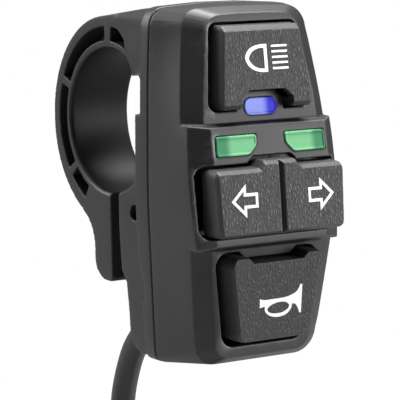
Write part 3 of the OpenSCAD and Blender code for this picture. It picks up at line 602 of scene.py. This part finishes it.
def drawn_in(points, distance):
    """Outline drawn in by a distance, corner by corner. The outline runs anticlockwise."""
    out = []
    for i, point in enumerate(points):
        here = Vector(point)
        before = (here - Vector(points[i - 1])).normalized()
        after = (Vector(points[(i + 1) % len(points)]) - here).normalized()
        n1 = Vector((-before.y, before.x))
        n2 = Vector((-after.y, after.x))
        out.append(tuple(here + (n1 + n2) * (distance / (1 + n1.dot(n2)))))
    return out


def rounded(points, radius, steps=5):
    """Outline with its corners rounded."""
    out = []
    for i, point in enumerate(points):
        here = Vector(point)
        before = Vector(points[i - 1]) - here
        after = Vector(points[(i + 1) % len(points)]) - here
        start = here + before.normalized() * min(radius, before.length / 2)
        end = here + after.normalized() * min(radius, after.length / 2)
        for k in range(steps + 1):
            t = k / steps
            out.append(tuple(start * (1 - t) ** 2 + here * (2 * t * (1 - t)) + end * t ** 2))
    return out


def between(p0, p1, p2, p3, t):
    """Place between the two middle ones of four points, on a smooth curve through them."""
    return 0.5 * (p1 * 2 + (p2 - p0) * t + (p0 * 2 - p1 * 5 + p2 * 4 - p3) * t ** 2
                  + (p1 * 3 - p0 - p2 * 3 + p3) * t ** 3)


def smooth_loop(points, steps, corners=()):
    """Closed curve through the points. It keeps a corner at the numbered ones."""
    out = []
    count = len(points)
    for i in range(count):
        p1 = Vector(points[i])
        p2 = Vector(points[(i + 1) % count])
        p0 = p1 * 2 - p2 if i in corners else Vector(points[i - 1])
        p3 = p2 * 2 - p1 if (i + 1) % count in corners else Vector(points[(i + 2) % count])
        out += [tuple(between(p0, p1, p2, p3, k / steps)) for k in range(steps)]
    return out


def plate(bm, loops, face, low, high):
    """Adds a thin plate on a leaning face: an outline and its holes, between two heights off the face."""
    corners = [[bm.verts.new((x * MM, (face_y(face, z) - h) * MM, z * MM)) for h in (low, high)]
               for loop in loops for x, z in loop]
    flat = [[Vector((x, z, 0)) for x, z in loop] for loop in loops]
    for tri in tessellate_polygon(flat):
        for side in (0, 1):
            bm.faces.new([corners[k][side] for k in tri])
    start = 0
    for loop in loops:
        for i in range(len(loop)):
            a = corners[start + i]
            b = corners[start + (i + 1) % len(loop)]
            bm.faces.new([a[0], b[0], b[1], a[1]])
        start += len(loop)


def stepped(bm, outline, radius, face, layers):
    """Adds a solid on a leaning face whose rounded outline is drawn in layer by layer, from back to front."""
    rings = []
    for inset, height in layers:
        loop = rounded(drawn_in(outline, inset), radius - inset)
        rings.append([bm.verts.new((x * MM, (face_y(face, z) - height) * MM, z * MM)) for x, z in loop])
    faces = []
    for low, high in zip(rings, rings[1:]):
        band = []
        for i in range(len(low)):
            j = (i + 1) % len(low)
            band.append(bm.faces.new([low[i], low[j], high[j], high[i]]))
        faces.append(band)
    faces.append([bm.faces.new(rings[-1])])
    faces.append([bm.faces.new(list(reversed(rings[0])))])
    return faces


def turned(bm, profile, centre, sides=48):
    """Adds a body turned about a vertical axis: a closed profile of radius and height, in millimetres."""
    rings = []
    for k in range(sides):
        a = 2 * math.pi * k / sides
        rings.append([bm.verts.new((centre[0] + r * MM * math.cos(a), centre[1] + r * MM * math.sin(a),
                                    centre[2] + h * MM)) for r, h in profile])
    for k in range(sides):
        one = rings[k]
        two = rings[(k + 1) % sides]
        for i in range(len(profile)):
            j = (i + 1) % len(profile)
            bm.faces.new([one[i], two[i], two[j], one[j]])


def repeat_tree(name, material):
    """Geometry node tree that sets copies of a box round a circle or along a line."""
    tree = bpy.data.node_groups.new(name, "GeometryNodeTree")
    tree.interface.new_socket("Geometry", in_out="OUTPUT", socket_type="NodeSocketGeometry")
    for key, kind in (("Count", "Int"), ("Radius", "Float"), ("Size", "Vector"), ("Centre", "Vector"),
                      ("Step", "Vector"), ("Turn", "Vector"), ("Around", "Float")):
        tree.interface.new_socket(key, in_out="INPUT", socket_type="NodeSocket" + kind)
    start = tree.nodes.new("NodeGroupInput")
    end = tree.nodes.new("NodeGroupOutput")
    line = add_node(tree, "GeometryNodeMeshLine", {"Count": start.outputs["Count"],
                                                   "Offset": start.outputs["Step"]})
    number = add_node(tree, "GeometryNodeInputIndex")
    share = calculated(tree, "DIVIDE", number.outputs[0], start.outputs["Count"])
    whole = calculated(tree, "MULTIPLY", start.outputs["Around"], 2 * math.pi)
    angle = calculated(tree, "MULTIPLY", share, whole)
    spin = add_node(tree, "ShaderNodeCombineXYZ", {"Z": angle})
    ring = add_node(tree, "ShaderNodeCombineXYZ", {"X": calculated(tree, "COSINE", angle),
                                                   "Y": calculated(tree, "SINE", angle)})
    out = add_node(tree, "ShaderNodeVectorMath", {0: ring.outputs[0], "Scale": start.outputs["Radius"]},
                   operation="SCALE")
    placed = add_node(tree, "GeometryNodeSetPosition", {"Geometry": line.outputs[0],
                                                        "Offset": out.outputs[0]})
    box = add_node(tree, "GeometryNodeMeshCube", {"Size": start.outputs["Size"]})
    copies = add_node(tree, "GeometryNodeInstanceOnPoints", {"Points": placed.outputs[0],
                                                             "Instance": box.outputs["Mesh"],
                                                             "Rotation": spin.outputs[0]})
    solid = add_node(tree, "GeometryNodeRealizeInstances", {0: copies.outputs[0]})
    moved = add_node(tree, "GeometryNodeTransform", {"Geometry": solid.outputs[0],
                                                     "Translation": start.outputs["Centre"],
                                                     "Rotation": start.outputs["Turn"]})
    coated = add_node(tree, "GeometryNodeSetMaterial", {"Geometry": moved.outputs[0], "Material": material})
    tree.links.new(coated.outputs[0], end.inputs[0])
    return tree


def repeated(name, material, **values):
    """Plain mesh of a repeated box, made by its node tree."""
    tree = repeat_tree(name + "_repeat", material)
    holder = bpy.data.objects.new(name + "_holder", bpy.data.meshes.new(name + "_holder"))
    bpy.context.scene.collection.objects.link(holder)
    modifier = holder.modifiers.new("Repeat", "NODES")
    modifier.node_group = tree
    for item in tree.interface.items_tree:
        if item.in_out == "INPUT":
            modifier[item.identifier] = values[item.name]
    return evaluated_mesh(holder, name)


# The lead

def coil_points():
    """Points of the lead from the clamp block to the connector, in millimetres."""
    points = [Vector((0, y, z)) for y, z in ROUTE]
    centre_y = ROUTE[-1][0] - COIL_RADIUS
    centre_z = ROUTE[-1][1]
    inward = 360 * LOOPS_IN
    inner = COIL_RADIUS - LOOPS_IN * LOOP_PITCH
    outward = 360 * (LOOPS_IN - 0.5)
    total = inward + 180 + outward
    step = 360 / LOOP_STEPS
    for k in range(1, round(total / step) + 1):
        angle = k * step
        if angle <= inward:
            radius, layer = COIL_RADIUS - LOOP_PITCH * angle / 360, 0.0
        elif angle <= inward + 180:
            radius, layer = inner, (1 - math.cos(math.radians(angle - inward))) / 2
        else:
            radius, layer = inner + LOOP_PITCH * (angle - inward - 180) / 360, 1.0
        a = math.radians(angle)
        points.append(Vector((layer * LOOP_PITCH, centre_y + radius * math.cos(a),
                              centre_z - radius * math.sin(a))))
    last = points[-1]
    points += [last - Vector((0, 0, TAIL * share)) for share in (0.25, 0.5, 0.75, 1.0)]
    return points


def eased(points, steps=3):
    """Open curve through the points."""
    out = []
    for i in range(len(points) - 1):
        p0 = points[max(i - 1, 0)]
        p1, p2 = points[i], points[i + 1]
        p3 = points[min(i + 2, len(points) - 1)]
        out += [between(p0, p1, p2, p3, k / steps) for k in range(steps)]
    out.append(points[-1])
    return out


class SWITCH_OT_stage(bpy.types.Operator):
    """Sets up the camera, the floor and the studio light"""

    bl_idname = "switch_cluster.stage"
    bl_label = "Stage"

    azimuth = -34.151
    elevation = 8.402
    focal_pixels = 2265.4
    frame_pixels = 400
    sensor = 36.0
    slide = (-9.661, 12.644)
    # Softboxes with their place, size and power, and what they shine at
    softboxes = (
        ("top_softbox", (0.15, 0.0, 0.69), (0.4, 0.4), 17.5),
        ("left_softbox", (-0.38, 0.5, 0.34), (0.4, 0.5), 6.0),
        ("right_softbox", (0.5, -0.62, 0.0), (0.45, 0.5), 7.6),
    )
    aim = Vector((0, -0.02, 0))
    world_strength = 0.05
    # The floor: size, gap below the part, shade for other rays and for the camera, and where it turns white
    floor_size = 6
    floor_gap = 0.0005
    floor_shades = (0.28, 0.85)
    floor_fade = (0.2, 0.32)

    def camera(self, scene):
        """Adds the camera that was fitted to the photo."""
        a = math.radians(self.azimuth)
        e = math.radians(self.elevation)
        back = Vector((math.sin(a) * math.cos(e), -math.cos(a) * math.cos(e), math.sin(e)))
        right = Vector((math.cos(a), math.sin(a), 0))
        up = back.cross(right)
        data = bpy.data.cameras.new("camera")
        data.sensor_fit = "HORIZONTAL"
        data.sensor_width = self.sensor
        data.lens = self.focal_pixels * self.sensor / self.frame_pixels
        data.clip_start = 0.01
        eye = back * sizes().view_distance - right * self.slide[0] * MM - up * self.slide[1] * MM
        camera = bpy.data.objects.new("camera", data)
        camera.matrix_world = Matrix.Translation(eye) @ Matrix((right, up, back)).transposed().to_4x4()
        scene.collection.objects.link(camera)
        scene.camera = camera

    def softbox(self, scene, name, place, size, power):
        """Adds an area light that shines at the part."""
        data = bpy.data.lights.new(name, "AREA")
        data.shape = "RECTANGLE"
        data.size, data.size_y = size
        data.energy = power
        lamp = bpy.data.objects.new(name, data)
        lamp.location = place
        lamp.rotation_euler = (self.aim - Vector(place)).to_track_quat("-Z", "Y").to_euler()
        scene.collection.objects.link(lamp)

    def floor(self, low):
        """Adds a floor that takes the shadow and is white to the camera further off."""
        bm = bmesh.new()
        bmesh.ops.create_grid(bm, x_segments=2, y_segments=2, size=self.floor_size)
        for vert in bm.verts:
            vert.co.z = low
        mesh = finished_mesh(bm, "floor")
        floor = bpy.data.objects.new("floor", mesh)
        bpy.context.scene.collection.objects.link(floor)
        material, tree, shader = new_material("pale_floor")
        shader.inputs["Roughness"].default_value = 0.7
        seen = add_node(tree, "ShaderNodeLightPath")
        rays = calculated(tree, "MAXIMUM", seen.outputs["Is Camera Ray"], seen.outputs["Is Transmission Ray"])
        shades = [(level, level, level) for level in self.floor_shades]
        tree.links.new(mixed(tree, rays, *shades), shader.inputs["Base Color"])
        place = object_place(tree)
        far = add_node(tree, "ShaderNodeVectorMath", {0: place}, operation="LENGTH")
        away = add_node(tree, "ShaderNodeMapRange", {"Value": far.outputs["Value"],
                                                     "From Min": self.floor_fade[0],
                                                     "From Max": self.floor_fade[1]},
                        interpolation_type="SMOOTHSTEP")
        both = calculated(tree, "MULTIPLY", rays, away.outputs[0])
        white = add_node(tree, "ShaderNodeEmission", {"Color": (1, 1, 1, 1), "Strength": 1.0})
        mix = add_node(tree, "ShaderNodeMixShader", {0: both, 1: shader.outputs[0], 2: white.outputs[0]})
        out = next(n for n in tree.nodes if n.type == "OUTPUT_MATERIAL")
        tree.links.new(mix.outputs[0], out.inputs["Surface"])
        mesh.materials.append(material)

    def world(self, scene):
        """Adds a dim world that is white to the camera."""
        world = bpy.data.worlds.new("studio")
        world.use_nodes = True
        tree = world.node_tree
        tree.nodes.clear()
        seen = add_node(tree, "ShaderNodeLightPath")
        plain = add_node(tree, "ShaderNodeBackground", {"Color": (1, 1, 1, 1),
                                                        "Strength": self.world_strength})
        white = add_node(tree, "ShaderNodeBackground", {"Color": (1, 1, 1, 1), "Strength": 1.0})
        mix = add_node(tree, "ShaderNodeMixShader", {0: seen.outputs["Is Camera Ray"], 1: plain.outputs[0],
                                                     2: white.outputs[0]})
        out = tree.nodes.new("ShaderNodeOutputWorld")
        tree.links.new(mix.outputs[0], out.inputs[0])
        scene.world = world

    def execute(self, context):
        scene = context.scene
        scene.view_settings.view_transform = "Standard"
        self.camera(scene)
        self.floor(CAD_BOX[0][2] - self.floor_gap)
        self.world(scene)
        for box in self.softboxes:
            self.softbox(scene, *box)
        return {"FINISHED"}


class SWITCH_OT_lead(bpy.types.Operator):
    """Builds the lead with its coil, tie and connector"""

    bl_idname = "switch_cluster.lead"
    bl_label = "Lead"

    # Turned profiles of the connector, radius and height in millimetres
    boot_ribs = 4
    rib_pitch = 1.7
    barrel = [(3.5, -7.8), (3.6, -8.3), (3.6, -19.7), (3.4, -20.0), (2.75, -20.0), (2.6, -19.8), (2.6, -15.0),
              (0.02, -15.0), (0.02, 0.0)]
    collar = [(3.65, -11.9), (4.1, -12.0), (4.25, -12.3), (4.25, -17.7), (4.1, -18.0), (3.65, -18.1)]

    def connector(self, top):
        """Builds the ribbed boot and barrel, the collar and its knurls."""
        shell = plain_plastic("connector_moulding", (0.02, 0.02, 0.022))
        boot = [(1.9, 0.0)]
        for k in range(self.boot_ribs):
            h = -0.5 - k * self.rib_pitch
            boot += [(2.2 + k * 0.28, h), (2.2 + k * 0.28, h - 0.9), (1.95 + k * 0.3, h - 1.1),
                     (1.95 + k * 0.3, h - 1.5)]
        turnings = []
        for name, node, profile in (("connector_shell", "connector_body", boot + self.barrel),
                                    ("connector_collar", "connector_ring", self.collar)):
            bm = bmesh.new()
            turned(bm, profile, top)
            turnings.append(flat_piece(name, bm, [shell], BODY))
            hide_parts(node)
        knurls = repeated("connector_knurls", shell, Count=sizes().knurls, Radius=4.25 * MM,
                          Size=(0.4 * MM, 0.45 * MM, 5.0 * MM), Centre=tuple(top - Vector((0, 0, 15 * MM))),
                          Step=(0, 0, 0), Turn=(0, 0, 0), Around=1.0)
        knurl = new_piece("connector_knurls", knurls, [shell], BODY)
        return [*turnings, knurl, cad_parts["connector_pins"]]

    def execute(self, context):
        points = eased(coil_points())
        curve = bpy.data.curves.new("lead", "CURVE")
        curve.dimensions = "3D"
        curve.bevel_depth = sizes().lead_diameter / 2
        curve.bevel_resolution = 5
        curve.use_fill_caps = True
        spline = curve.splines.new("POLY")
        spline.points.add(len(points) - 1)
        for mark, point in zip(spline.points, points):
            mark.co = (*(point * MM), 1)
        spline.use_smooth = True
        curve.materials.append(rubber_finish())
        lead = bpy.data.objects.new("lead", curve)
        context.scene.collection.objects.link(lead)
        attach(lead, BODY)
        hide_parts("cable", "cable_coil")
        tie = mould_piece("lead_tie", "cable_tie", plain_plastic("tie_moulding", (0.012, 0.012, 0.013), 0.35),
                          step=0.00025, rounds=3, ratio=0.5)
        pieces = self.connector(points[-1] * MM) + [tie]
        return {"FINISHED"}


class SWITCH_OT_shells(bpy.types.Operator):
    """Builds the front and rear shells and the gland"""

    bl_idname = "switch_cluster.shells"
    bl_label = "Shells"

    def execute(self, context):
        mould_piece("front_shell", "front_case", case_finish(), step=sizes().front_step, rounds=6, ratio=0.16,
                    wall_rounds=400)
        mould_piece("rear_shell", "rear_case", case_finish(), step=sizes().rear_step, rounds=5, ratio=0.15,
                    wall_rounds=300)
        mould_piece("lead_gland", "cable_gland", rubber_finish("gland_rubber", (0.014, 0.014, 0.014)),
                    step=0.00016, rounds=3, ratio=0.5)
        return {"FINISHED"}


class SWITCH_OT_buttons(bpy.types.Operator):
    """Builds the headlight button, the turn rocker and the horn button"""

    bl_idname = "switch_cluster.buttons"
    bl_label = "Buttons"

    def execute(self, context):
        for name, node, body in (("headlight_cap", "headlight_button", "headlight_push"),
                                 ("rocker_cap", "turn_rocker", "rocker"),
                                 ("horn_cap", "horn_button", "horn_push")):
            mould_piece(name, node, button_finish(), body, step=sizes().button_step, rounds=5, ratio=0.25)
        return {"FINISHED"}


class SWITCH_OT_symbols(bpy.types.Operator):
    """Prints the headlight, arrow and horn symbols on the buttons"""

    bl_idname = "switch_cluster.symbols"
    bl_label = "Symbols"

    def printed(self, name, loops, face, material, body):
        """Adds a symbol on a button's face."""
        bm = bmesh.new()
        plate(bm, loops, face, SYMBOL_ROOT, sizes().symbol_height / MM)
        flat_piece(name, bm, [material], body)

    def execute(self, context):
        white = plain_plastic("symbol_print", colours().symbol, 0.5)
        low, high = SYMBOL_ROOT, sizes().symbol_height / MM
        lamp = [smooth_loop(loop, 5, (0, 1)) for loop in (LAMP_OUTER, LAMP_INNER)]
        self.printed("headlight_symbol", lamp, HEADLIGHT_FACE, white, "headlight_push")
        lean = HEADLIGHT_FACE[2]
        middle = (LAMP_BAR[0] + LAMP_BAR[1]) / 2
        bars = repeated("headlight_rays", white, Count=LAMP_BARS, Radius=0.0,
                        Size=((LAMP_BAR[1] - LAMP_BAR[0]) * MM, (high - low) * MM, LAMP_BAR[2] * MM),
                        Centre=(middle * MM, (face_y(HEADLIGHT_FACE, LAMP_BAR_TOP) - (high + low) / 2) * MM,
                                LAMP_BAR_TOP * MM),
                        Step=(0, 0, -LAMP_BAR_STEP * MM * math.hypot(1, lean)), Turn=(-math.atan(lean), 0, 0),
                        Around=0.0)
        new_piece("headlight_rays", bars, [white], "headlight_push")
        outer = anticlockwise(ARROW)
        inner = drawn_in(outer, ARROW_LINE)
        for side, name in ((1, "arrow_right"), (-1, "arrow_left")):
            arrow = [[(x * side, z) for x, z in loop] for loop in (outer, inner)]
            self.printed(name, arrow, ROCKER_FACE, white, "rocker")
        horn = [smooth_loop(HORN_OUTER, 4, HORN_CORNERS), smooth_loop(HORN_HOLE, 4)]
        self.printed("horn_symbol", horn, HORN_FACE, white, "horn_push")
        return {"FINISHED"}


class SWITCH_OT_lenses(bpy.types.Operator):
    """Builds the blue beam lens and the two green turn lenses"""

    bl_idname = "switch_cluster.lenses"
    bl_label = "Lenses"

    def lens(self, name, outline, radius, face, materials, slot, node):
        """Adds a lens with a raised rim in the second material."""
        bm = bmesh.new()
        bands = stepped(bm, anticlockwise(outline), radius, face, LENS_LAYERS)
        for band in bands[1:3]:
            for side in band:
                side.material_index = 1
        piece = flat_piece(name, bm, materials, BODY)
        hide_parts(node)

    def execute(self, context):
        turn = tuple(colours().turn)
        deep = tuple(c * share for c, share in zip(turn, (0.28, 0.48, 0.44)))
        edge = plain_plastic("turn_lens_rim", (0.4, 0.62, 0.47), 0.3)
        for side, word in ((1, "right"), (-1, "left")):
            green = lens_finish(f"turn_lens_{word}_green", turn, deep, from_x=6.6 * side, to_x=8.0 * side)
            outline = [(x * side, z) for x, z in TURN_LENS]
            self.lens(f"turn_window_{word}", outline, TURN_LENS_RADIUS, BAR_PANEL, [green, edge],
                      "green_lens", f"turn_lens_{word}")
        beam = tuple(colours().beam)
        rim = plain_plastic("beam_lens_rim", (0.3, 0.31, 0.85), 0.3)
        blue = lens_finish("beam_lens_blue", beam, (0.045, 0.035, 0.76), from_x=0.2, to_x=1.6)
        self.lens("beam_window", BEAM_LENS, BEAM_LENS_RADIUS, TOP_PANEL, [blue, rim], "blue_lens",
                  "beam_lens")
        return {"FINISHED"}


class SWITCH_OT_fittings(bpy.types.Operator):
    """Finishes the pieces that keep their CAD shape, such as screws, springs and switches"""

    bl_idname = "switch_cluster.fittings"
    bl_label = "Fittings"

    def execute(self, context):
        steel = metal_finish("plated_steel", (0.5, 0.5, 0.51), 0.3)
        dark_steel = metal_finish("blackened_steel", (0.03, 0.03, 0.032), 0.45)
        brass = metal_finish("turned_brass", (0.62, 0.42, 0.14), 0.32)
        black = plain_plastic("switch_moulding", (0.02, 0.02, 0.022))
        pale = plain_plastic("natural_moulding", (0.66, 0.63, 0.56), 0.35)
        seal = rubber_finish("seal_rubber", (0.012, 0.012, 0.012))
        board = plain_plastic("board_mask", (0.015, 0.11, 0.05), 0.3)
        finishes = {
            "case_screws": steel, "clamp_screw": steel, "clamp_washer": steel, "clamp_insert": brass,
            "headlight_spring": steel, "horn_spring": steel, "rocker_pin": dark_steel, "turn_switch": steel,
            "board_screws": steel, "headlight_switch": black, "horn_switch": black, "turn_slider": black,
            "headlight_stem": pale, "horn_stem": pale, "lead_socket": pale, "beam_led": pale,
            "turn_leds": pale, "circuit_board": board, "case_seal": seal, "inner_wires": wire_finish(),
            "cable_stub": rubber_finish(), "connector_pins": brass,
        }
        for node, material in finishes.items():
            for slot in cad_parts[node].material_slots:
                slot.material = material
        return {"FINISHED"}


class SWITCH_PT_panel(bpy.types.Panel):
    """Lists the cluster's operators, sizes and colours"""

    bl_idname = "SWITCH_PT_panel"
    bl_label = "Switch cluster"
    bl_space_type = "VIEW_3D"
    bl_region_type = "UI"
    bl_category = "Switch cluster"

    def draw(self, context):
        layout = self.layout
        for operator in OPERATORS:
            layout.operator(operator.bl_idname)
        for group in (context.scene.switch_sizes, context.scene.switch_colours):
            for key in group.__annotations__:
                layout.prop(group, key)


OPERATORS = (SWITCH_OT_stage, SWITCH_OT_lead, SWITCH_OT_shells, SWITCH_OT_buttons, SWITCH_OT_symbols,
             SWITCH_OT_lenses, SWITCH_OT_fittings)
CLASSES = (SwitchSizes, SwitchColours, *OPERATORS, SWITCH_PT_panel)


def register():
    """Registers the classes and the scene's sizes and colours."""
    for item in CLASSES:
        bpy.utils.register_class(item)
    bpy.types.Scene.switch_sizes = bpy.props.PointerProperty(type=SwitchSizes)
    bpy.types.Scene.switch_colours = bpy.props.PointerProperty(type=SwitchColours)


def unregister():
    """Takes the classes and the scene's properties away again."""
    del bpy.types.Scene.switch_colours
    del bpy.types.Scene.switch_sizes
    for item in reversed(CLASSES):
        bpy.utils.unregister_class(item)


def main():
    """Builds everything in order."""
    register()
    for operator in OPERATORS:
        group, name = operator.bl_idname.split(".")
        getattr(getattr(bpy.ops, group), name)()


if __name__ == "__main__":
    main()
